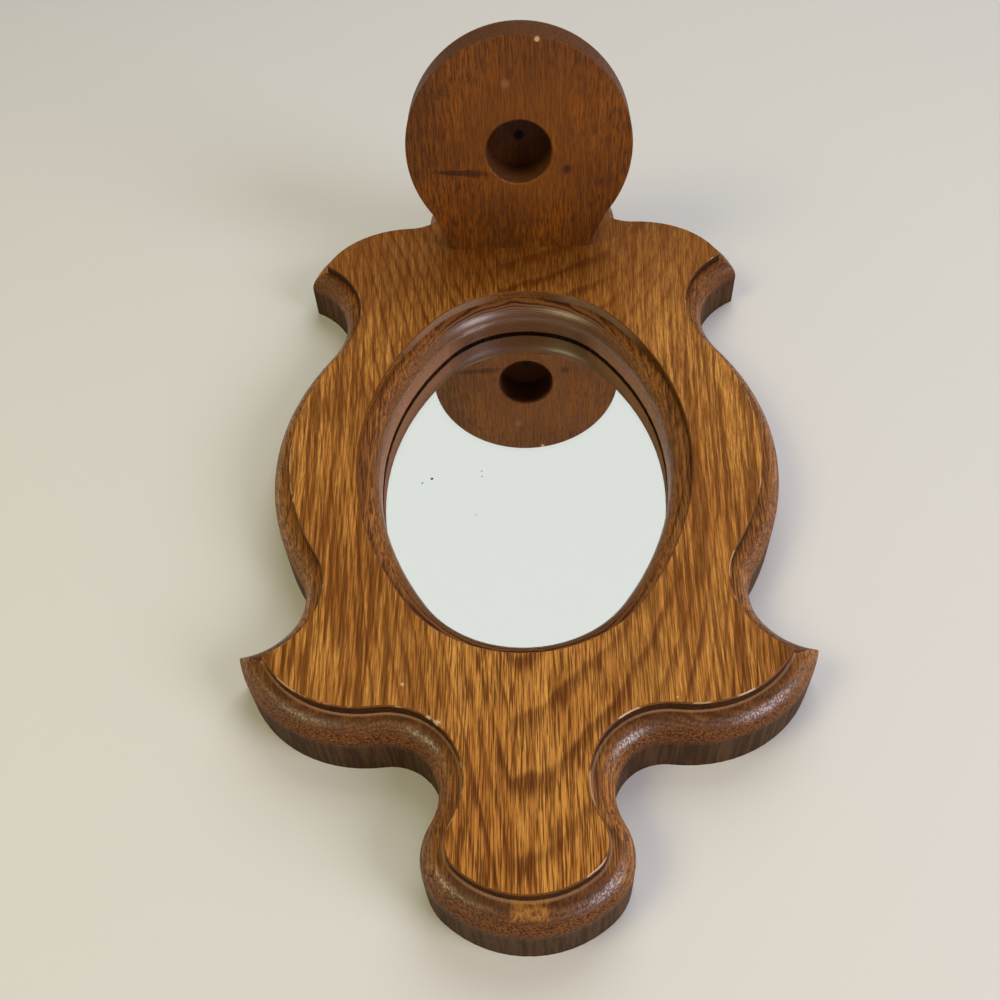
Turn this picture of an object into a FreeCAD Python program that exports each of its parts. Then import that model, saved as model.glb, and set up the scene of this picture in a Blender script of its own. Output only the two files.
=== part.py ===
import FreeCAD
import Part
import math
import os

# Oak candle sconce for a wall: an oval mirror in a shaped board, with a round shelf for one candle.
# Millimetres. +X is right and +Z is up as the sconce hangs, and +Y points into the wall. The back of
# the board is y = 0, and the origin is the middle of the hanger's keyhole.

# Board: thickness, and the moulding that its outer edge and its mirror opening share
board_thickness = 19.05
step_height = 2.9
step_tread = 0.3
bead_radius = 5.4
face_ease = 0.3

# Mirror opening, at the glass: an oval of four arcs
sight_half_width = 42.4
sight_half_height = 67.6
sight_end_radius = 30.8

# Mirror, its backing and the points that hold both in the rabbet
glass_thickness = 2.0
glass_overlap = 4.7
glass_clearance = 0.5
glass_seam = 0.4
backing_thickness = 3.2
backing_inset = 0.3
point_thickness = 0.6
point_length = 12.0
point_width = 6.4
point_bite = 5.6
point_recess = 0.45
end_point_angle = 48.0
side_point_angle = 13.0

# Board outline: belly beside the mirror
rim_width = 31.7
belly_radius = 91.1
belly_below_mirror = 3.9
belly_setback = 22.5

# Board outline: waist, wing, neck and knob above the belly
waist_radius = 16.0
waist_sweep = 115.5
wing_radius = 34.6
wing_tip_angle = 18.3
neck_half_width = 19.5
neck_radius = 13.0
knob_overhang = 3.3
knob_side_radius = 13.3
knob_ease = 5.3

# Board outline: ear, shoulder and lobe below the belly
ear_radius = 34.6
ear_sweep = 84.5
shoulder_radius = 35.3
shoulder_tip_angle = 5.8
lobe_neck_half_width = 35.7
lobe_cove_radius = 6.35
lobe_overhang = 0.3
lobe_side_radius = 20.0
lobe_ease = 11.0

# Candle shelf
shelf_thickness = 19.05
shelf_radius = 38.1
shelf_reach = 36.3
shelf_below_sight = 32.7
shelf_foot_half_width = 24.3
shelf_flank = 13.3
shelf_roundover = 9.5
shelf_ease = 0.5
candle_radius = 11.11
candle_floor = 6.0
candle_rim = 0.5
drill_mark_radius = 1.6
drill_mark_depth = 1.2

# Screws: shared fit, then the shelf's pair and the hanger's pair
screw_clearance = 0.05
screw_sink = 0.3
screw_lip = 0.3
screw_tip = 4.0
drive_slot = 1.0
drive_depth = 1.7
shelf_screw_radius = 2.1
shelf_screw_head = 4.1
shelf_screw_bite = 18.5
shelf_screw_edge = 10.3
hanger_screw_radius = 1.75
hanger_screw_head = 3.4
hanger_screw_cover = 3.25
hanger_screw_edge = 5.5

# Hanger: a keyhole plate let flush into the back
hanger_width = 16.0
hanger_thickness = 1.6
hanger_clearance = 0.15
hanger_land = 6.3
hanger_web = 3.3
keyhole_radius = 4.75
keyhole_slot_width = 4.8
keyhole_rise = 12.0
pocket_margin = 1.5
pocket_depth = 8.0

# Heights this close count as level when edges are picked
level = 0.01

# Places and sizes that follow from the above
rabbet_border = glass_overlap + glass_clearance
rabbet_depth = glass_thickness + backing_thickness + point_thickness + point_recess
lower_screw_z = -keyhole_radius - hanger_web - hanger_screw_head
upper_screw_z = keyhole_rise + keyhole_slot_width / 2 + hanger_web + hanger_screw_head
hanger_bottom = lower_screw_z - hanger_screw_edge
hanger_top = upper_screw_z + hanger_screw_edge
mirror_z = hanger_bottom - hanger_clearance - hanger_land - rabbet_border - sight_half_height
shelf_top_z = mirror_z - sight_half_height - shelf_below_sight
front_y = -board_thickness
step_y = front_y + step_height


def vec(x, z, y=0.0):
    return FreeCAD.Vector(x, y, z)


def polar(centre, radius, degrees):
    turn = math.radians(degrees)
    return centre + vec(radius * math.cos(turn), radius * math.sin(turn))


# An arc of an outline is its centre, its radius and 1 where the wood bulges or -1 where it is hollow.
# Neighbouring arcs touch or cross, and they join at the crossing farther out from the middle line.
def joint(first, second, inset):
    radius = first[1] - first[2] * inset
    other = second[1] - second[2] * inset
    between = second[0] - first[0]
    reach = between.Length
    along = (radius ** 2 - other ** 2 + reach ** 2) / (2 * reach)
    across = math.sqrt(max(radius ** 2 - along ** 2, 0.0))
    foot = first[0] + between * (along / reach)
    side = vec(-between.z, between.x) * (across / reach)
    return max((foot + side, foot - side), key=lambda point: abs(point.x))


# Closed wire of touching or crossing arcs, offset into the wood by inset, in the plane y
def arc_wire(arcs, inset, y):
    joints = []
    for index in range(len(arcs)):
        joints.append(joint(arcs[index - 1], arcs[index], inset))
    edges = []
    for index, arc in enumerate(arcs):
        start = joints[index]
        end = joints[(index + 1) % len(arcs)]
        middle = (start + end) * 0.5 - arc[0]
        middle.normalize()
        middle = arc[0] + middle * (arc[1] - arc[2] * inset)
        edges.append(Part.Arc(start, middle, end).toShape())
    wire = Part.Wire(edges)
    wire.translate(vec(0, 0, y))
    return wire


def slab(wire, y_end):
    face = Part.Face(wire)
    return face.extrude(vec(0, 0, y_end - face.CenterOfMass.y))


# Upright slab with round ends: ends is the pair of heights of the two end centres
def round_ended(radius, ends, y_start, y_end):
    low, high = ends
    upper = Part.Arc(vec(radius, high), vec(0, high + radius), vec(-radius, high)).toShape()
    lower = Part.Arc(vec(-radius, low), vec(0, low - radius), vec(radius, low)).toShape()
    left = Part.makeLine(vec(-radius, high), vec(-radius, low))
    right = Part.makeLine(vec(radius, low), vec(radius, high))
    wire = Part.Wire([upper, left, lower, right])
    wire.translate(vec(0, 0, y_start))
    return slab(wire, y_end)


# Solid of revolution from (radius, distance along the axis) pairs
def turned(profile, place, axis):
    points = [FreeCAD.Vector(radius, 0, along) for radius, along in profile]
    points.append(points[0])
    solid = Part.Face(Part.makePolygon(points)).revolve(vec(0, 0), vec(0, 1), 360)
    solid.Placement = FreeCAD.Placement(place, FreeCAD.Rotation(vec(0, 1), axis))
    return solid


# Countersunk screw body from the back into the wood, or with a clearance the hole for it
def screw_body(radius, head, length, place, clearance=0.0):
    shank = radius + clearance
    rim = head + clearance
    cone_end = screw_lip + head - radius
    profile = [
        (0.0, 0.0),
        (rim, 0.0),
        (rim, screw_lip + clearance),
        (shank, cone_end + clearance),
        (shank, length - screw_tip),
        (0.0, length + clearance),
    ]
    return turned(profile, place, vec(0, 0, -1))


def screw(radius, head, length, place):
    body = screw_body(radius, head, length, place)
    for wide, high in ((head, drive_slot), (drive_slot, head)):
        corner = place + vec(-wide / 2, -high / 2, -drive_depth)
        body = body.cut(Part.makeBox(wide, drive_depth, high, corner))
    return body


# Hole for a screw, open to the back
def screw_hole(radius, head, length, place):
    hole = screw_body(radius, head, length, place, screw_clearance)
    mouth = Part.makeCylinder(head + screw_clearance, screw_sink, place, vec(0, 0, 1))
    return hole.fuse(mouth)


# Right half of the outline, from the lobe up to the knob
belly_span = sight_half_height - belly_setback
belly_half_width = sight_half_width + rim_width
belly_c = vec(belly_half_width - belly_radius, mirror_z - belly_below_mirror)
waist_angle = math.degrees(math.asin((belly_span + belly_below_mirror) / belly_radius))
waist_c = polar(belly_c, belly_radius + waist_radius, waist_angle)
wing_tip = polar(waist_c, waist_radius, 180 + waist_angle - waist_sweep)
wing_c = polar(wing_tip, wing_radius, 180 + wing_tip_angle)
ear_angle = -math.degrees(math.asin((belly_span - belly_below_mirror) / belly_radius))
ear_c = polar(belly_c, belly_radius + ear_radius, ear_angle)
ear_tip = polar(ear_c, ear_radius, 180 + ear_angle + ear_sweep)
shoulder_c = polar(ear_tip, shoulder_radius, 180 - shoulder_tip_angle)


# Cove, side and crown of the knob (up = 1) or of the lobe (up = -1)
def bulb(flank_c, flank_radius, neck, cove, overhang, side, ease, up):
    cove_x = neck + cove
    cove_z = flank_c.z + up * math.sqrt((flank_radius + cove) ** 2 - (cove_x - flank_c.x) ** 2)
    half_width = neck + overhang
    side_x = half_width - side
    side_z = cove_z + up * math.sqrt((cove + side) ** 2 - (cove_x - side_x) ** 2)
    crown = half_width + ease
    crown_z = side_z - up * math.sqrt((crown - side) ** 2 - side_x ** 2)
    return (vec(cove_x, cove_z), cove, -1), (vec(side_x, side_z), side, 1), (vec(0, crown_z), crown, 1)


neck_cove, knob_side, knob_crown = bulb(
    wing_c, wing_radius, neck_half_width, neck_radius, knob_overhang, knob_side_radius, knob_ease, 1)
lobe_cove, lobe_side, lobe_crown = bulb(
    shoulder_c, shoulder_radius, lobe_neck_half_width, lobe_cove_radius, lobe_overhang,
    lobe_side_radius, lobe_ease, -1)
right_arcs = [
    lobe_side,
    lobe_cove,
    (shoulder_c, shoulder_radius, 1),
    (ear_c, ear_radius, -1),
    (belly_c, belly_radius, 1),
    (waist_c, waist_radius, -1),
    (wing_c, wing_radius, 1),
    neck_cove,
    knob_side,
]
left_arcs = [(vec(-centre.x, centre.z), radius, bulge) for centre, radius, bulge in reversed(right_arcs)]
board_arcs = [lobe_crown] + right_arcs + [knob_crown] + left_arcs

# Oval of the mirror opening, as wood around it is seen: the arcs are hollow, so an inset widens it
end_z = sight_half_height - sight_end_radius
sight_side_radius = (
    (sight_half_width ** 2 + sight_half_height ** 2 - 2 * sight_half_height * sight_end_radius)
    / (2 * (sight_half_width - sight_end_radius)))
side_x = sight_half_width - sight_side_radius
oval_arcs = [
    (vec(side_x, mirror_z), sight_side_radius, -1),
    (vec(0, mirror_z + end_z), sight_end_radius, -1),
    (vec(-side_x, mirror_z), sight_side_radius, -1),
    (vec(0, mirror_z - end_z), sight_end_radius, -1),
]

parts = {}

# Mirror glass, face down on the rabbet's lip, with seamed edges
glass_y = -rabbet_depth
backing_y = glass_y + glass_thickness
point_y = backing_y + backing_thickness
glass = slab(arc_wire(oval_arcs, glass_overlap, glass_y), backing_y)
rims = [edge for edge in glass.Edges if edge.BoundBox.YLength < level]
parts["mirror_glass"] = glass.makeChamfer(glass_seam, rims)

# Backing sheet on the silvered side
backing = arc_wire(oval_arcs, glass_overlap - backing_inset, backing_y)
parts["mirror_backing"] = slab(backing, point_y)


# Flat diamond half in the rabbet's wall: an arc of the oval and a bearing on it give its place
def glazier_point(arc, bearing, clearance):
    half_length = point_length / 2 + clearance
    half_width = point_width / 2 + clearance
    wall_radius = arc[1] + rabbet_border
    middle = polar(arc[0], wall_radius + point_bite - point_length / 2, bearing)
    corners = [
        polar(middle, half_length, bearing),
        polar(middle, half_width, bearing + 90),
        polar(middle, half_length, bearing + 180),
        polar(middle, half_width, bearing + 270),
    ]
    wire = Part.makePolygon(corners + corners[:1])
    wire.translate(vec(0, 0, point_y))
    return slab(wire, point_y + point_thickness + clearance)


right_side, top_end, left_side, bottom_end = oval_arcs
point_places = [
    (top_end, 90 + end_point_angle),
    (top_end, 90 - end_point_angle),
    (right_side, side_point_angle),
    (right_side, -side_point_angle),
    (bottom_end, 270 + end_point_angle),
    (bottom_end, 270 - end_point_angle),
    (left_side, 180 + side_point_angle),
    (left_side, 180 - side_point_angle),
]
point_slits = []
for number, (arc, bearing) in enumerate(point_places, 1):
    parts["glazier_point_%d" % number] = glazier_point(arc, bearing, 0.0)
    point_slits.append(glazier_point(arc, bearing, screw_clearance))

# Hanger plate, flush with the back, with its keyhole
hanger_ends = (hanger_bottom + hanger_width / 2, hanger_top - hanger_width / 2)
hanger = round_ended(hanger_width / 2, hanger_ends, -hanger_thickness, 0)
keyhole = Part.makeCylinder(keyhole_radius, hanger_thickness, vec(0, 0), vec(0, 0, -1))
slot = round_ended(keyhole_slot_width / 2, (0.0, keyhole_rise), -hanger_thickness, 0)
hanger = hanger.cut(keyhole.fuse(slot))

# Hanger screws, and the holes they need in the plate and the board
hanger_screw_length = board_thickness - screw_sink - hanger_screw_cover
hanger_holes = []
for name, height in (("upper", upper_screw_z), ("lower", lower_screw_z)):
    place = vec(0, height, -screw_sink)
    size = (hanger_screw_radius, hanger_screw_head, hanger_screw_length, place)
    parts["hanger_screw_" + name] = screw(*size)
    hanger_holes.append(screw_hole(*size))
parts["hanger_plate"] = hanger.cut(hanger_holes)

# Pocket for the plate, and a deeper one for the head of the wall screw behind the keyhole
plate_pocket = round_ended(hanger_width / 2 + hanger_clearance, hanger_ends, -hanger_thickness, 0)
head_pocket = round_ended(keyhole_radius + pocket_margin, (0.0, keyhole_rise), -pocket_depth, 0)

# Shelf: flat foot on the board, short straight flanks, then most of a circle
shelf_y = front_y - shelf_reach
flank_y = front_y - shelf_flank
flank_x = math.sqrt(shelf_radius ** 2 - (shelf_reach - shelf_flank) ** 2)
foot_right = vec(shelf_foot_half_width, shelf_top_z, front_y)
foot_left = vec(-shelf_foot_half_width, shelf_top_z, front_y)
flank_right = vec(flank_x, shelf_top_z, flank_y)
flank_left = vec(-flank_x, shelf_top_z, flank_y)
shelf_front = vec(0, shelf_top_z, shelf_y - shelf_radius)
shelf_wire = Part.Wire([
    Part.makeLine(foot_left, foot_right),
    Part.makeLine(foot_right, flank_right),
    Part.Arc(flank_right, shelf_front, flank_left).toShape(),
    Part.makeLine(flank_left, foot_left),
])
shelf = Part.Face(shelf_wire).extrude(vec(0, -shelf_thickness))


# Edges of the shelf at one height, without the foot's
def shelf_rim(height):
    found = []
    for edge in shelf.Edges:
        at_height = all(abs(corner.Z - height) < level for corner in edge.Vertexes)
        if at_height and edge.CenterOfMass.y < front_y - level:
            found.append(edge)
    return found


shelf = shelf.makeFillet(shelf_roundover, shelf_rim(shelf_top_z - shelf_thickness))
shelf = shelf.makeFillet(shelf_ease, shelf_rim(shelf_top_z))

# Candle hole from above, with a softened rim and the drill's mark at its bottom
candle_depth = shelf_thickness - candle_floor
candle_hole = turned([
    (0.0, 0.0),
    (candle_radius + candle_rim, 0.0),
    (candle_radius, candle_rim),
    (candle_radius, candle_depth),
    (drill_mark_radius, candle_depth),
    (0.0, candle_depth + drill_mark_depth),
], vec(0, shelf_top_z, shelf_y), vec(0, -1))
shelf = shelf.cut(candle_hole)

# Shelf screws through the board into the foot
shelf_screw_x = shelf_foot_half_width - shelf_screw_edge
shelf_screw_z = shelf_top_z - shelf_thickness / 2
shelf_screw_length = board_thickness - screw_sink + shelf_screw_bite
shelf_holes = []
for name, side in (("left", -1), ("right", 1)):
    place = vec(side * shelf_screw_x, shelf_screw_z, -screw_sink)
    size = (shelf_screw_radius, shelf_screw_head, shelf_screw_length, place)
    parts["shelf_screw_" + name] = screw(*size)
    shelf_holes.append(screw_hole(*size))
parts["candle_shelf"] = shelf.cut(shelf_holes)


# Board: the moulded edge is a quarter round under a square step, outside and around the mirror
def pierced(inset, y_start, y_end):
    whole = slab(arc_wire(board_arcs, inset, y_start), y_end)
    return whole.cut(slab(arc_wire(oval_arcs, inset, y_start), y_end))


# The edges around a slab's front
def front_edges(shape, y):
    return [edge for edge in shape.Edges if edge.BoundBox.YMax < y + level]


bead = pierced(0.0, 0.0, step_y)
bead = bead.makeFillet(bead_radius, front_edges(bead, step_y))
face = pierced(bead_radius + step_tread, step_y, front_y)
face = face.makeChamfer(face_ease, front_edges(face, front_y))
board = bead.fuse(face).removeSplitter()
rabbet = slab(arc_wire(oval_arcs, rabbet_border, 0.0), -rabbet_depth)
hollows = [rabbet, plate_pocket, head_pocket]
parts["backplate"] = board.cut(hollows + point_slits + hanger_holes + shelf_holes)

os.makedirs("parts", exist_ok=True)
for name, shape in parts.items():
    shape.exportStep("parts/" + name + ".step")
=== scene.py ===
import bmesh
import bpy
import math
from mathutils import Matrix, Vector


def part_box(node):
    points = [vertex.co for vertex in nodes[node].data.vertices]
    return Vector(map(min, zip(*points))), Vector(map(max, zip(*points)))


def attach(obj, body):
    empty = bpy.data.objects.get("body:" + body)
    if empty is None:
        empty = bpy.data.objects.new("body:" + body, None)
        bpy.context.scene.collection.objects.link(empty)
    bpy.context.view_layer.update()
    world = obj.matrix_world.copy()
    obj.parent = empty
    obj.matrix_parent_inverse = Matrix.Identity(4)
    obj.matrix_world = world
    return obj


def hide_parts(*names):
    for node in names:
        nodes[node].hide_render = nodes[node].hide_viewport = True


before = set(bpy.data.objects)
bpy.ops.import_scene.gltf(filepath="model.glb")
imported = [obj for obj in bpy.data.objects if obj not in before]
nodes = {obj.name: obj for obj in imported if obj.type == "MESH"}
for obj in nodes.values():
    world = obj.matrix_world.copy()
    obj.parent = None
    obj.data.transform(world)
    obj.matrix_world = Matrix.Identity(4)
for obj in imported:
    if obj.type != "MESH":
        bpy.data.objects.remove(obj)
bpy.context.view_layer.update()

# The board is one piece of plain-sawn red oak, sawn to its outline and moulded along the edge and round
# the oval. Front and moulding are stained brown and lacquered, and the back is bare. The grain runs up
# the board, so a moulding that faces up or down shows end grain. Materials measure in millimetres.
millimetres = 1000.0
front_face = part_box("backplate")[0].y * millimetres
step_foot = front_face + 2.9
bead_foot = step_foot + 5.4
emboss_height = 0.0002
mirror_low, mirror_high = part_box("mirror_glass")
oval_middle = (mirror_low.z + mirror_high.z) / 2 * millimetres


def put(tree, kind, values, **settings):
    made = tree.nodes.new("ShaderNode" + kind)
    for name, value in settings.items():
        setattr(made, name, value)
    for name, value in values.items():
        if isinstance(value, bpy.types.NodeSocket):
            tree.links.new(value, made.inputs[name])
        else:
            made.inputs[name].default_value = value
    return made


def calc(tree, operation, a, b=0.0, c=0.0):
    return put(tree, "Math", {0: a, 1: b, 2: c}, operation=operation).outputs[0]


def times(tree, first, *others):
    product = first
    for other in others:
        product = calc(tree, "MULTIPLY", product, other)
    return product


def linear(tree, value, slope, start):
    return calc(tree, "MULTIPLY_ADD", value, slope, start)


def rise(tree, value, low, high):
    ranges = {"Value": value, "From Min": low, "From Max": high}
    return put(tree, "MapRange", ranges, interpolation_type="SMOOTHSTEP").outputs["Result"]


def split(tree, vector):
    return put(tree, "SeparateXYZ", {0: vector}).outputs


def stretch(tree, place, scale):
    return put(tree, "VectorMath", {0: place, 1: scale}, operation="MULTIPLY").outputs[0]


def distance(tree, place, spot):
    return put(tree, "VectorMath", {0: place, 1: spot}, operation="DISTANCE").outputs["Value"]


def noise(tree, place, scale, detail=1.0):
    spread = stretch(tree, place, scale)
    return put(tree, "TexNoise", {"Vector": spread, "Scale": 1.0, "Detail": detail}).outputs["Fac"]


def blend(tree, factor, a, b):
    return put(tree, "Mix", {0: factor, 6: a, 7: b}, data_type="RGBA").outputs[2]


def stain(tree, base, tint, *shares):
    return blend(tree, times(tree, *shares), base, tint)


def colour(red, green, blue):
    linear_light = []
    for level in (red, green, blue):
        part = level / 255
        linear_light.append(part / 12.92 if part <= 0.04045 else ((part + 0.055) / 1.055) ** 2.4)
    return (*linear_light, 1.0)


def surface(name):
    made = bpy.data.materials.new(name)
    made.use_nodes = True
    return made, made.node_tree, made.node_tree.nodes["Principled BSDF"]


def where(tree):
    scaled = {0: put(tree, "TexCoord", {}).outputs["Object"], "Scale": millimetres}
    return put(tree, "VectorMath", scaled, operation="SCALE").outputs[0]


def heading(tree):
    return split(tree, put(tree, "TexCoord", {}).outputs["Normal"])


def emboss(tree, shader, relief, strength, **settings):
    values = {"Height": relief, "Strength": strength, "Distance": emboss_height}
    bump = put(tree, "Bump", values, **settings)
    tree.links.new(bump.outputs["Normal"], shader.inputs["Normal"])


def dress(name, material):
    for holder in nodes[name].material_slots:
        holder.material = material


# Growth rings of a plain-sawn board come out on its face as nested arches, whose arms toward +X stand
# steeper than the others, and through its thickness as close layers. Each ring starts dark and fades
# upward along the fibres. Place is in millimetres, with the fibres along Z and the rings stacked along Y.
ring_pitch = 16.5
layer_pitch = 7.0
arch_middle = 6.0
arch_reach = 50.0
grain_parts = ("Rings", "Layers", "Pores", "Streaks")
oak = bpy.data.node_groups.new("oak", "ShaderNodeTree")
oak.interface.new_socket("Place", in_out="INPUT", socket_type="NodeSocketVector")
for name in grain_parts:
    oak.interface.new_socket(name, in_out="OUTPUT", socket_type="NodeSocketFloat")
place = oak.nodes.new("NodeGroupInput").outputs["Place"]
result = oak.nodes.new("NodeGroupOutput").inputs
axes = split(oak, place)
sway = noise(oak, place, (0.025, 0.025, 0.006))
wander = noise(oak, place, (0.09, 0.09, 0.02), 2.0)
fibres = rise(oak, noise(oak, place, (1.5, 1.5, 0.03), 2.0), 0.38, 0.62)
across = linear(oak, sway, 8.0, calc(oak, "SUBTRACT", axes["X"], arch_middle))
square = calc(oak, "POWER", across, 2.0)
gentle_arm = times(oak, across, -0.55)
steep_arm = linear(oak, across, 4.5, -14.0)
arch = calc(oak, "SMOOTH_MAX", gentle_arm, steep_arm, 4.0)
arch = linear(oak, square, 0.016, arch)
steepening = calc(oak, "POWER", calc(oak, "DIVIDE", square, arch_reach ** 2), 3.0)
arch = linear(oak, steepening, 40.0, arch)
arch = calc(oak, "ADD", arch, axes["Z"])
arch = linear(oak, axes["Y"], -14.0, arch)
arch = linear(oak, wander, 11.0, arch)
turn = linear(oak, fibres, 0.02, calc(oak, "DIVIDE", arch, ring_pitch))
phase = calc(oak, "FRACT", turn)
ring_number = calc(oak, "FLOOR", turn)
strength = put(oak, "TexWhiteNoise", {"W": ring_number}, noise_dimensions="1D").outputs["Value"]
start = rise(oak, phase, 0.0, 0.14)
fading = rise(oak, linear(oak, fibres, -0.16, phase), 0.4, 0.08)
rings = times(oak, start, fading, linear(oak, strength, 0.4, 0.6), linear(oak, fibres, 0.3, 0.7))
patches = rise(oak, noise(oak, place, (0.07, 0.07, 0.03)), 0.3, 0.6)
rings = times(oak, rings, linear(oak, patches, 0.35, 0.65))
rings = times(oak, rings, linear(oak, rise(oak, across, 10.0, -2.0), 0.15, 0.85))
bow = linear(oak, square, 0.012, times(oak, axes["Z"], 0.4))
bow = linear(oak, axes["Y"], -12.0, bow)
bow = linear(oak, wander, 14.0, bow)
layers = calc(oak, "PINGPONG", calc(oak, "DIVIDE", bow, layer_pitch), 0.5)
layers = rise(oak, linear(oak, fibres, 0.08, layers), 0.18, 0.46)
dashes = noise(oak, place, (3.3, 3.3, 0.12), 2.0)
pores = rise(oak, linear(oak, rings, 0.05, dashes), 0.45, 0.61)
tone = rise(oak, noise(oak, place, (0.06, 0.06, 0.02), 2.0), 0.35, 0.65)
streaks = linear(oak, tone, 0.4, times(oak, fibres, 0.6))
for name, value in zip(grain_parts, (rings, layers, pores, streaks)):
    oak.links.new(value, result[name])

# The front face: its fibres fan out and its flanks have long dark lines. Painted shade makes its foot the
# darkest, most of all under the shelf, and darkens the wing toward +X.
board, tree, shader = surface("board_oak")
place = where(tree)
facing = heading(tree)
axes = split(tree, place)
depth = axes["Y"]
height = axes["Z"]
aside = calc(tree, "ABSOLUTE", axes["X"])
spread = linear(tree, height, -0.0009, 1.0)
spread = linear(tree, calc(tree, "POWER", height, 2.0), 0.0000045, spread)
narrowed = calc(tree, "DIVIDE", axes["X"], spread)
fanned = put(tree, "CombineXYZ", {"X": narrowed, "Y": depth, "Z": height}).outputs[0]
wood = put(tree, "Group", {"Place": fanned}, node_tree=oak).outputs
rings, layers, pores, streaks = [wood[name] for name in grain_parts]
face = blend(tree, streaks, colour(212, 150, 70), colour(160, 100, 38))
fleck = rise(tree, noise(tree, fanned, (5.0, 5.0, 0.5), 2.0), 0.35, 0.65)
face = stain(tree, face, colour(128, 76, 28), fleck, 0.35)
flank = times(tree, rise(tree, axes["X"], -18.0, -36.0), rise(tree, height, -20.0, -50.0))
face = stain(tree, face, colour(92, 46, 16), rings, linear(tree, flank, -0.7, 1.0))
sides = rise(tree, aside, 12.0, 40.0)
lines = rise(tree, noise(tree, fanned, (0.8, 0.8, 0.028), 3.0), 0.46, 0.57)
line_share = linear(tree, rise(tree, height, -175.0, -120.0), 0.35, 0.3)
face = stain(tree, face, colour(94, 48, 8), lines, sides, line_share)
face = stain(tree, face, colour(80, 38, 2), pores, linear(tree, sides, -0.3, 0.85))
# Painted shade: the face darkens toward the foot, where the shelf keeps light off
face = stain(tree, face, colour(104, 54, 8), rise(tree, height, -130.0, -205.0), 0.6)
# Painted shade of the shelf, deepest on the face right under it
painted_shelf_shade = times(tree, rise(tree, aside, 36.0, 16.0), rise(tree, height, -165.0, -185.0))
face = stain(tree, face, colour(84, 36, 0), painted_shelf_shade, 0.4)
# Painted shade on the wing toward +X, heavier along the grain lines
painted_wing_shade = times(tree, rise(tree, axes["X"], 0.0, 45.0), rise(tree, height, -80.0, -30.0))
face = stain(tree, face, colour(98, 52, 4), painted_wing_shade, linear(tree, lines, 0.4, 0.05))

# The moulded edge drinks more stain. Where it cuts across the fibres, the pores are specks. The tilt is
# taken from just over one, because it divides and is never zero that way.
just_over_one = 1.0001
oval_half_width = 50.0
oval_half_height = 75.2
flattened = stretch(tree, place, (1 / oval_half_width, 0.0, 1 / oval_half_height))
oval = distance(tree, flattened, (0.0, 0.0, oval_middle / oval_half_height))
beyond = rise(tree, oval, 1.0, 1.08)
turned_aside = calc(tree, "ABSOLUTE", facing["X"])
tilt = calc(tree, "SUBTRACT", just_over_one, calc(tree, "POWER", facing["Y"], 2.0))
upright = calc(tree, "DIVIDE", calc(tree, "ABSOLUTE", facing["Z"]), calc(tree, "SQRT", tilt))
specks = noise(tree, place, (2.0, 2.0, 0.8), 2.0)
end_grain = blend(tree, rise(tree, specks, 0.4, 0.66), colour(122, 76, 36), colour(86, 50, 22))
cloud = rise(tree, noise(tree, place, (0.16, 0.16, 0.16), 2.0), 0.4, 0.62)
end_grain = stain(tree, end_grain, colour(66, 36, 18), cloud, 0.4)
end_grain = stain(tree, end_grain, colour(62, 32, 14), layers, 0.5)
rows = rise(tree, noise(tree, place, (1.7, 4.2, 1.7), 2.0), 0.4, 0.6)
low_bead = blend(tree, rows, colour(132, 78, 26), colour(56, 28, 8))
end_grain = stain(tree, end_grain, low_bead, rise(tree, depth, step_foot + 0.75, step_foot + 2.55))
side_grain = blend(tree, streaks, colour(172, 112, 48), colour(126, 76, 32))
side_grain = stain(tree, side_grain, colour(78, 40, 16), rings, 0.6)
side_grain = stain(tree, side_grain, colour(62, 30, 8), pores, 0.75)
outer_bead = blend(tree, rise(tree, upright, 0.35, 0.85), side_grain, end_grain)
growth = blend(tree, layers, colour(120, 74, 36), colour(62, 33, 14))
oval_bead = blend(tree, rise(tree, upright, 0.3, 0.75), side_grain, growth)
moulded = blend(tree, beyond, oval_bead, outer_bead)
stained = blend(tree, rise(tree, depth, step_foot - 0.35, step_foot - 0.1), face, moulded)

# The riser of the step is painted dark, partly for its end grain and partly as painted shade in the step,
# heaviest outside the oval, and inside it heavier on risers that face +X. The oval's riser toward the
# shelf has a painted highlight at both sides, and the tread of the step is rubbed pale round the wings and
# the knob.
riser = rise(tree, depth, step_foot + 0.15, step_foot - 0.05)
riser = times(tree, riser, rise(tree, facing["Y"], -0.4, -0.2))
oval_shade = linear(tree, rise(tree, facing["X"], 0.0, 0.6), 0.45, 0.25)
shade = calc(tree, "MAXIMUM", oval_shade, times(tree, beyond, 0.9))
stained = stain(tree, stained, colour(44, 21, 8), riser, shade)
# Painted highlight on the oval's riser toward the shelf, at both sides
painted_riser_highlight = times(tree, rise(tree, aside, 6.0, 20.0), rise(tree, aside, 46.0, 32.0))
painted_riser_highlight = times(tree, painted_riser_highlight, rise(tree, height, -130.0, -150.0), linear(tree, beyond, -0.6, 0.6))
stained = stain(tree, stained, colour(168, 138, 116), riser, painted_riser_highlight)
tread = rise(tree, depth, step_foot - 0.15, step_foot - 0.05)
tread = times(tree, tread, rise(tree, depth, step_foot + 0.04, step_foot + 0.005))
tread = times(tree, tread, rise(tree, facing["Y"], -0.9, -0.98), rise(tree, height, -45.0, -25.0))
stained = stain(tree, stained, colour(176, 136, 104), tread, 0.6)

# A thumb's width of the top bead is rubbed golden
thumb_middle = (-0.5, -14.7, 35.0)
thumb_scale = (0.28, 0.6, 0.5)
offset = put(tree, "VectorMath", {0: place, 1: thumb_middle}, operation="SUBTRACT").outputs[0]
offset = stretch(tree, offset, thumb_scale)
offset = split(tree, put(tree, "VectorMath", {0: offset}, operation="ABSOLUTE").outputs[0])
reach = calc(tree, "MAXIMUM", offset["X"], calc(tree, "MAXIMUM", offset["Y"], offset["Z"]))
thumb = times(tree, rise(tree, reach, 1.25, 0.7), rise(tree, specks, 0.8, 0.35))
stained = stain(tree, stained, colour(196, 134, 52), thumb, 0.6)
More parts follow.
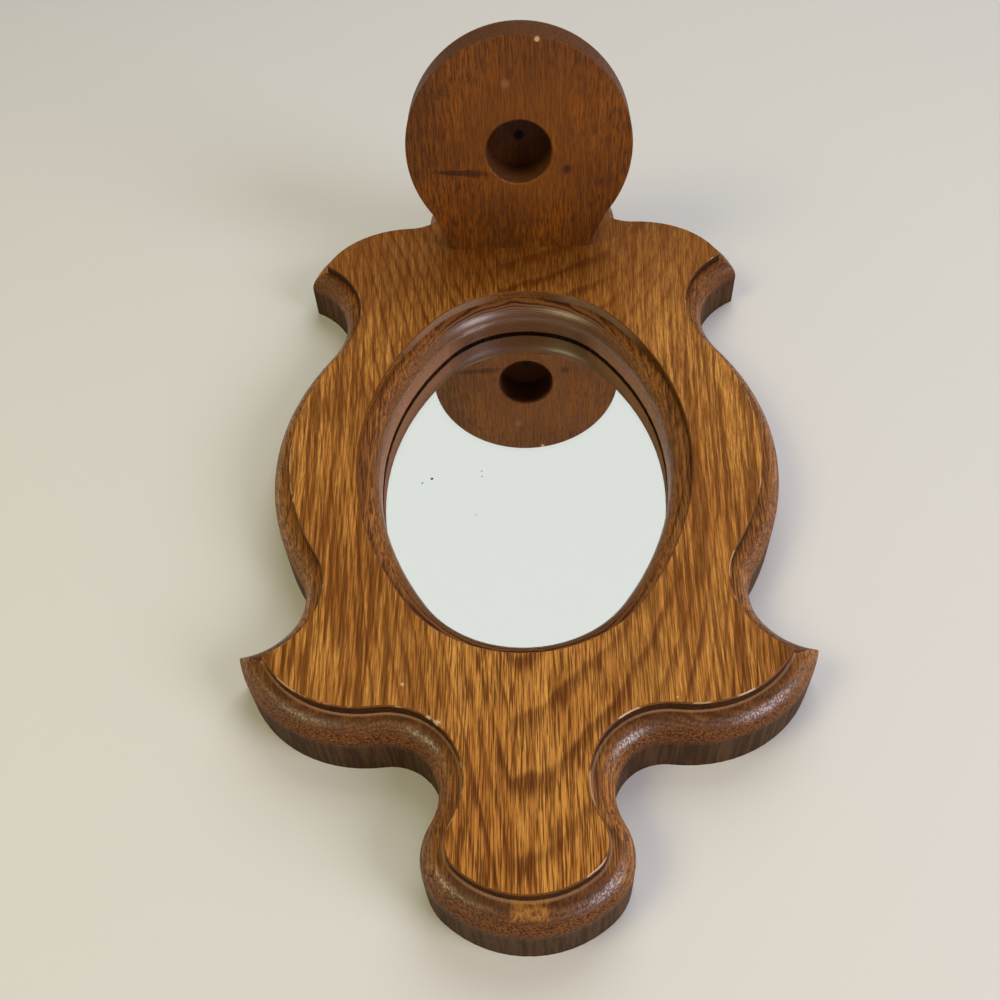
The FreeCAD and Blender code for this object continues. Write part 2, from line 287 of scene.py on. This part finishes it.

# The outer wall below the bead is sawn, darker and matt. Inside the oval the wall is paler at the sides,
# which is painted light that the mirror throws back onto it.
wall = times(tree, rise(tree, depth, bead_foot - 2.05, bead_foot + 1.35), beyond)
saw = rise(tree, noise(tree, place, (0.9, 0.05, 0.9), 2.0), 0.4, 0.65)
sawn = blend(tree, saw, colour(52, 34, 17), colour(84, 60, 38))
stained = stain(tree, stained, sawn, wall, 0.88)
# Painted light thrown back by the mirror onto the oval's inner wall at the sides
painted_mirror_light = times(tree, rise(tree, depth, bead_foot - 1.85, bead_foot + 1.75), rise(tree, oval, 1.0, 0.98))
painted_mirror_light = times(tree, painted_mirror_light, rise(tree, turned_aside, 0.6, 0.95))
stained = stain(tree, stained, colour(200, 146, 114), painted_mirror_light, 0.45)

# The front edge is worn pale here and there, in stretches that also stand for a painted highlight along
# it, and chipped pale at four flakes given as x, z and size
flakes = ((22.2, -5.7, 1.0), (20.3, -4.5, 1.1), (28.6, -14.6, 0.55), (-34.6, -10.3, 0.45))
edge = rise(tree, depth, front_face + 0.35, front_face + 0.25)
edge = times(tree, edge, rise(tree, facing["Y"], -0.95, -0.8), rise(tree, facing["Y"], -0.4, -0.6))
wear_and_sheen = times(tree, rise(tree, noise(tree, place, (0.11, 0.11, 0.11), 4.0), 0.54, 0.6), beyond)
wear_and_sheen_colour = blend(tree, wear_and_sheen, colour(112, 66, 26), colour(184, 142, 98))
stained = blend(tree, edge, stained, wear_and_sheen_colour)
for x, z, size in flakes:
    ragged = linear(tree, specks, size * 2.0, distance(tree, place, (x, front_face, z)))
    flake = rise(tree, ragged, size * 2.0, size * 1.4)
    stained = stain(tree, stained, colour(216, 188, 148), flake, 0.75)

# The back is bare
bare = blend(tree, streaks, colour(204, 168, 120), colour(184, 146, 98))
bare = stain(tree, bare, colour(158, 116, 72), rings, 0.6)
bare = stain(tree, bare, colour(126, 88, 50), pores, 0.6)
stained = stain(tree, stained, bare, rise(tree, facing["Y"], 0.5, 0.9))
tree.links.new(stained, shader.inputs["Base Color"])

# The lacquer is satin on the face, glossier on the crowns of the beads, and duller in the pores and on the
# sawn wall
matt = linear(tree, pores, 0.16, 0.4)
tree.links.new(linear(tree, wall, 0.2, matt), shader.inputs["Roughness"])
shader.inputs["Specular IOR Level"].default_value = 0.15
bead = rise(tree, depth, front_face + 0.35, front_face + 0.55)
bead = times(tree, bead, calc(tree, "SUBTRACT", 1.0, wall))
glints = rise(tree, noise(tree, place, (2.6, 2.6, 1.6)), 0.49, 0.58)
crown = rise(tree, depth, step_foot + 0.05, step_foot + 0.75)
crown = times(tree, crown, rise(tree, depth, bead_foot - 2.65, bead_foot - 3.85))
crown = times(tree, crown, linear(tree, glints, 0.85, 0.15))
crown = times(tree, crown, linear(tree, rise(tree, turned_aside, 0.08, 0.4), 0.6, 0.4))
oval_crown = rise(tree, depth, step_foot + 0.35, step_foot + 1.35)
oval_crown = times(tree, oval_crown, rise(tree, depth, bead_foot + 1.25, bead_foot - 1.75), 0.7)
gloss = put(tree, "Mix", {0: beyond, 2: oval_crown, 3: crown}).outputs[0]
bead_coat = times(tree, bead, linear(tree, gloss, 0.94, 0.06))
edge_coat = times(tree, edge, linear(tree, wear_and_sheen, 0.4, 0.06))
tree.links.new(calc(tree, "MAXIMUM", bead_coat, edge_coat), shader.inputs["Coat Weight"])
shader.inputs["Coat Roughness"].default_value = 0.38
shader.inputs["Coat IOR"].default_value = 2.0
emboss(tree, shader, linear(tree, specks, bead, times(tree, pores, -0.7)), 0.5)
dress("backplate", board)

# The mirror is a 2 mm oval of float glass, laid face down on the lip of the opening. Its back is silvered,
# with a few pin-point black specks, given as x, z and size. The silver clears the backing by a hair, so
# that the two never share a plane.
silver_gap = 0.02
silver_depth = mirror_high.y * millimetres - silver_gap
black_specks = (
    (27.9, -94.1, 0.5),
    (30.7, -92.4, 0.3),
    (12.9, -96.9, 0.25),
    (12.8, -94.6, 0.25),
    (14.2, -79.3, 0.2),
)
glass, tree, shader = surface("mirror_glass")
shader.inputs["Base Color"].default_value = colour(249, 251, 249)
shader.inputs["Roughness"].default_value = 0.0
shader.inputs["Transmission Weight"].default_value = 1.0
shader.inputs["IOR"].default_value = 1.52
silver, tree, shader = surface("mirror_silver")
place = where(tree)
clean = 1.0
for x, z, size in black_specks:
    away = distance(tree, place, (x, silver_depth, z))
    clean = times(tree, clean, rise(tree, away, size * 0.6, size * 1.1))
tree.links.new(blend(tree, clean, colour(14, 13, 12), colour(246, 248, 246)), shader.inputs["Base Color"])
shader.inputs["Metallic"].default_value = 1.0
shader.inputs["Roughness"].default_value = 0.0
mesh = bpy.data.meshes.new("mirror")
work = bmesh.new()
work.from_mesh(nodes["mirror_glass"].data)
bmesh.ops.remove_doubles(work, verts=work.verts, dist=1e-6)
bmesh.ops.dissolve_limit(work, angle_limit=math.radians(0.5), verts=work.verts, edges=work.edges)
bmesh.ops.recalc_face_normals(work, faces=work.faces)
for face in work.faces:
    face.material_index = 1 if face.normal.y > 0.9 else 0
mid_glass = (mirror_low.y + mirror_high.y) / 2
back_points = [point for point in work.verts if point.co.y > mid_glass]
bmesh.ops.translate(work, vec=(0.0, -silver_gap / millimetres, 0.0), verts=back_points)
work.to_mesh(mesh)
work.free()
mesh.materials.append(glass)
mesh.materials.append(silver)
mirror = bpy.data.objects.new("mirror", mesh)
bpy.context.scene.collection.objects.link(mirror)
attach(mirror, "root")
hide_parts("mirror_glass")

# The backing is an oval of brown hardboard, pressed wood fibre, cut a little smaller than the glass. It
# lies loose on the silvering in the same rabbet and keeps it from scratches.
hardboard, tree, shader = surface("hardboard")
place = where(tree)
fibre = noise(tree, place, (0.9, 0.9, 0.9), 4.0)
cloud = noise(tree, place, (0.06, 0.06, 0.06), 2.0)
brown = blend(tree, rise(tree, fibre, 0.35, 0.65), colour(92, 66, 44), colour(128, 96, 66))
brown = stain(tree, brown, colour(108, 78, 52), rise(tree, cloud, 0.3, 0.7))
tree.links.new(brown, shader.inputs["Base Color"])
shader.inputs["Roughness"].default_value = 0.7
emboss(tree, shader, fibre, 0.4)
dress("mirror_backing", hardboard)

# Glazier points are flat diamonds stamped from dull steel. Eight of them are pressed halfway into the
# wall of the rabbet, over the backing, and hold it and the glass in the board.
point_count = 8


def metal(name, mottle_scale, dark, light, matt_slope, matt_start):
    made, tree, shader = surface(name)
    mottle = noise(tree, where(tree), mottle_scale, 3.0)
    tree.links.new(blend(tree, mottle, dark, light), shader.inputs["Base Color"])
    tree.links.new(linear(tree, mottle, matt_slope, matt_start), shader.inputs["Roughness"])
    shader.inputs["Metallic"].default_value = 1.0
    return made


dull_steel = (colour(150, 150, 148), colour(186, 186, 184))
points = metal("glazing_steel", (0.7, 0.7, 0.7), *dull_steel, 0.3, 0.25)
for number in range(1, point_count + 1):
    dress("glazier_point_%d" % number, points)

# The candle shelf is a round of the same oak, stained darker, with a flat foot against the board and a
# blind hole for one candle. Its grain runs straight out from the board. The upper face has a short crack
# beside the hole, a pin knot, a scuff and a chip on its rim.
shelf_low, shelf_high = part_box("candle_shelf")
shelf_top = shelf_high.z * millimetres
shelf_middle = (shelf_low.y + shelf_high.x) * millimetres
hole_radius = 11.1
hole_floor = shelf_top - 13.05


def round_mark(tree, place, middle, outside, inside):
    return rise(tree, distance(tree, place, middle), outside, inside)


shelf, tree, shader = surface("shelf_oak")
place = where(tree)
facing = heading(tree)
axes = split(tree, place)
height = axes["Z"]
turned = put(tree, "CombineXYZ", {"X": height, "Y": axes["X"], "Z": axes["Y"]}).outputs[0]
turned = stretch(tree, turned, (0.6, 0.6, 1.8))
wood = put(tree, "Group", {"Place": turned}, node_tree=oak).outputs
pores = wood["Pores"]
stained = blend(tree, wood["Streaks"], colour(146, 82, 14), colour(100, 54, 8))
stained = stain(tree, stained, colour(88, 44, 14), wood["Rings"], 0.2)
stained = stain(tree, stained, colour(64, 29, 2), pores, 0.7)
cloud = rise(tree, noise(tree, place, (0.06, 0.06, 0.06), 2.0), 0.4, 0.6)
stained = stain(tree, stained, colour(80, 42, 14), cloud, 0.3)
golden = round_mark(tree, place, (-4.0, -60.0, shelf_top), 34.0, 12.0)
stained = stain(tree, stained, colour(142, 80, 14), golden, 0.35)
rim = rise(tree, calc(tree, "ABSOLUTE", facing["Z"]), 0.8, 0.4)
rim_specks = rise(tree, noise(tree, place, (1.6, 0.5, 1.6), 2.0), 0.35, 0.65)
rim_grain = blend(tree, rim_specks, colour(104, 66, 40), colour(78, 44, 24))
stained = stain(tree, stained, rim_grain, rim, 0.8)

# The crack runs sideways from the hole with a ragged edge, and thins out away from it
crack_middle = (20.0, -48.8, shelf_top)
offset = put(tree, "VectorMath", {0: place, 1: crack_middle}, operation="SUBTRACT").outputs[0]
offset = split(tree, offset)
ragged = noise(tree, place, (0.35, 1.2, 0.35), 2.0)
along = times(tree, offset["X"], 0.09)
beside = linear(tree, ragged, 2.4, calc(tree, "ADD", offset["Y"], -1.2))
beside = linear(tree, offset["X"], 0.08, beside)
beside = times(tree, beside, linear(tree, offset["X"], 0.05, 0.9))
reach = calc(tree, "ADD", calc(tree, "POWER", along, 2.0), calc(tree, "POWER", beside, 2.0))
crack = times(tree, rise(tree, reach, 1.3, 0.2), rise(tree, height, shelf_top - 1.0, shelf_top - 0.3))
stained = stain(tree, stained, colour(48, 20, 6), crack, 0.75)
knot = round_mark(tree, place, (-16.2, -49.0, shelf_top), 2.4, 0.6)
stained = stain(tree, stained, colour(46, 18, 8), knot, 0.8)
scuff = round_mark(tree, place, (3.7, -78.5, shelf_top), 2.2, 0.4)
stained = stain(tree, stained, colour(170, 130, 90), scuff, 0.35)
rim_chip = round_mark(tree, place, (-6.6, -91.8, shelf_top), 1.1, 0.4)
stained = stain(tree, stained, colour(214, 180, 140), rim_chip)

# The hole is painted with shade that deepens with depth and on its outer wall, and the drill's point has
# left a pit, painted dark with its shade
level = stretch(tree, place, (1.0, 1.0, 0.0))
hole = round_mark(tree, level, (0.0, shelf_middle, 0.0), hole_radius + 0.4, hole_radius + 0.1)
hole = times(tree, hole, rise(tree, height, shelf_top - 0.2, shelf_top - 0.9))
painted_hole_shade = rise(tree, height, shelf_top - 1.5, shelf_top - 11.5)
painted_hole_shade = calc(tree, "MAXIMUM", painted_hole_shade, rise(tree, facing["Y"], 0.1, 0.6))
stained = stain(tree, stained, colour(46, 15, 2), hole, painted_hole_shade, 0.6)
pit = round_mark(tree, place, (0.0, shelf_middle, hole_floor - 0.35), 2.2, 1.5)
stained = stain(tree, stained, colour(20, 8, 2), pit, 0.85)
tree.links.new(stained, shader.inputs["Base Color"])
tree.links.new(linear(tree, pores, 0.16, 0.42), shader.inputs["Roughness"])
shader.inputs["Specular IOR Level"].default_value = 0.3
emboss(tree, shader, pores, 0.5, invert=True)
dress("candle_shelf", shelf)

# The hanger is a small plate of bright zinc-plated steel, let flush into the back of the board. The
# sconce hangs by its keyhole on one wall screw.
bright_zinc = (colour(176, 178, 180), colour(208, 210, 212))
zinc = metal("hanger_steel", (1.5, 1.5, 0.12), *bright_zinc, 0.25, 0.22)
dress("hanger_plate", zinc)

# Four countersunk wood screws of steel, zinc plated and passivated yellow. Two go through the board into
# the foot of the shelf, and two hold the hanger plate.
yellow_zinc = (colour(196, 168, 104), colour(214, 190, 140))
yellow = metal("screw_steel", (0.5, 0.5, 0.5), *yellow_zinc, 0.25, 0.2)
for name in ("shelf_screw_left", "shelf_screw_right", "hanger_screw_upper", "hanger_screw_lower"):
    dress(name, yellow)

# A plain pale surface, a hair in front of the board's back and open behind the mirror. It is seen from the
# front only, so that the back of the board shows and is lit too.
surface_gap = 0.00035
surface_reach = 4.0
opening_half_width = 0.052
opening_half_height = 0.078
ring_segments = 64
sheet, tree, shader = surface("pale_surface")
shader.inputs["Base Color"].default_value = (0.66, 0.66, 0.655, 1.0)
shader.inputs["Roughness"].default_value = 0.9
hidden = put(tree, "BsdfTransparent", {}).outputs[0]
behind = put(tree, "NewGeometry", {}).outputs["Backfacing"]
shown = put(tree, "MixShader", {0: behind, 1: shader.outputs[0], 2: hidden}).outputs[0]
tree.links.new(shown, tree.nodes["Material Output"].inputs["Surface"])
mesh = bpy.data.meshes.new("pale_surface")
work = bmesh.new()
middle = (0.0, -surface_gap, oval_middle / millimetres)
lying = Matrix.Translation(middle) @ Matrix.Rotation(math.radians(90), 4, "X")
opening = lying @ Matrix.Diagonal((opening_half_width, opening_half_height, 1.0, 1.0))
bmesh.ops.create_circle(work, segments=ring_segments, radius=1.0, matrix=opening)
bmesh.ops.create_circle(work, segments=ring_segments, radius=surface_reach, matrix=lying)
bmesh.ops.bridge_loops(work, edges=work.edges)
for face in work.faces:
    if face.normal.y > 0.0:
        face.normal_flip()
work.to_mesh(mesh)
work.free()
mesh.materials.append(sheet)
floor = bpy.data.objects.new("pale_surface", mesh)
bpy.context.scene.collection.objects.link(floor)

# Soft light for a board that lies on its back: a cool window on one side, a warm lamp on the other, a
# broad pale ceiling over the front, and a fill for the back. Each lamp is a disk that faces the origin.
white = (1.0, 1.0, 1.0)


def lamp(name, spot, size, watts, tint):
    light = bpy.data.lights.new(name, "AREA")
    light.shape = "DISK"
    light.size = size
    light.energy = watts
    light.color = tint
    made = bpy.data.objects.new(name, light)
    made.location = spot
    made.rotation_euler = made.location.to_track_quat("Z", "Y").to_euler()
    bpy.context.scene.collection.objects.link(made)
    return made


lamp("window", (-0.75, -0.52, 0.38), 0.52, 5.8, (1.0, 0.94, 1.0))
lamp("room_lamp", (0.58, -0.74, 0.26), 0.46, 3.3, (1.0, 0.88, 0.5))
ceiling = lamp("ceiling", (-0.3, -1.2, -1.1), 1.4, 11.0, white)
ceiling.visible_transmission = False
ceiling.visible_glossy = False
lamp("rear_fill", (-0.6, 1.4, 0.4), 1.0, 14.0, white)

# The room around is dim, cool on the window's side and warm on the lamp's. Camera and mirror see it as a
# plain pale backdrop, and lacquer sees its front part dimmed.
cool_side = (0.28, 0.262, 0.295, 1.0)
warm_side = (0.265, 0.247, 0.135, 1.0)
backdrop = (0.855, 0.865, 0.855, 1.0)
world = bpy.data.worlds.new("room")
world.use_nodes = True
tree = world.node_tree
sky = tree.nodes["Background"]
way = split(tree, put(tree, "TexCoord", {}).outputs["Generated"])
tree.links.new(blend(tree, rise(tree, way["X"], -0.8, 0.8), cool_side, warm_side), sky.inputs["Color"])
rays = put(tree, "LightPath", {}).outputs
dimmed = times(tree, rays["Is Glossy Ray"], rise(tree, way["Y"], 0.3, -0.1))
tree.links.new(linear(tree, dimmed, -0.65, 1.0), sky.inputs["Strength"])
seen = put(tree, "Background", {"Color": backdrop, "Strength": 1.0}).outputs[0]
direct = calc(tree, "MAXIMUM", rays["Is Camera Ray"], rays["Is Transmission Ray"])
room = put(tree, "MixShader", {0: direct, 1: sky.outputs[0], 2: seen}).outputs[0]
tree.links.new(room, tree.nodes["World Output"].inputs["Surface"])
bpy.context.scene.world = world
bpy.context.scene.view_settings.view_transform = "Standard"

# The camera is close in front, above the knob end, and looks down along the mirror at the shelf. Its
# angles are pitch, roll and turn in degrees.
camera_place = (-0.00366, -0.20578, 0.09922)
camera_angles = (-47.501, 0.646, 177.479)
view = bpy.data.cameras.new("camera")
view.lens = 33.354
view.sensor_width = 36.0
view.clip_start = 0.01
camera = bpy.data.objects.new("camera", view)
camera.location = camera_place
camera.rotation_euler = [math.radians(angle) for angle in camera_angles]
bpy.context.scene.collection.objects.link(camera)
bpy.context.scene.camera = camera
